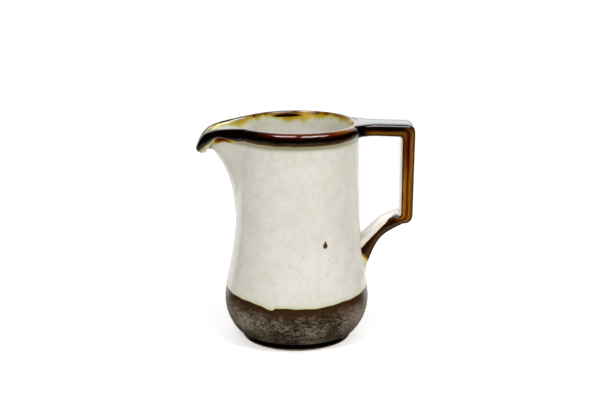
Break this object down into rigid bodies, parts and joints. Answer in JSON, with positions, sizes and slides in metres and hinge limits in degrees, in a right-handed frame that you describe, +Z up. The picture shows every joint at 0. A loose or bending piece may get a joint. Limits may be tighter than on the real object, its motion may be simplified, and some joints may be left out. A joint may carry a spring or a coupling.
{
  "type": "creamer",
  "caption": "Stoneware creamer with a flared belly on a foot ring, a beaded rim pulled into a beak spout, a squared strap handle, and pale and brown glazes.",
  "frame": {"origin": "on the table, under the middle of the box from spout tip to handle; the jug's own axis stands 3.95 mm towards the spout", "axes": "+Z up, +X from spout to handle, +Y across, away from the side that faces the viewer with the handle on the right"},
  "size_m": [0.1028, 0.069, 0.105],
  "materials": {
    "biscuit_stoneware": "fired unglazed stoneware, fine and matt",
    "pale_glaze": "glossy oatmeal glaze with fine warm grey speckle",
    "glossy_brown_glaze": "glossy tenmoku brown that breaks to amber where it is thin",
    "dry_brown_glaze": "satin dark brown mottled with silvery grey"
  },
  "bodies": {
    "root": {"stoneware_body": "biscuit_stoneware", "stoneware_handle": "biscuit_stoneware", "upper_slip_joint": "biscuit_stoneware", "lower_slip_joint": "biscuit_stoneware", "pale_wall_glaze": "pale_glaze", "pale_liner_glaze": "pale_glaze", "pale_handle_glaze": "pale_glaze", "brown_rim_glaze": "glossy_brown_glaze", "brown_handle_glaze": "glossy_brown_glaze", "brown_base_glaze": "dry_brown_glaze"}
  },
  "joints": []
}
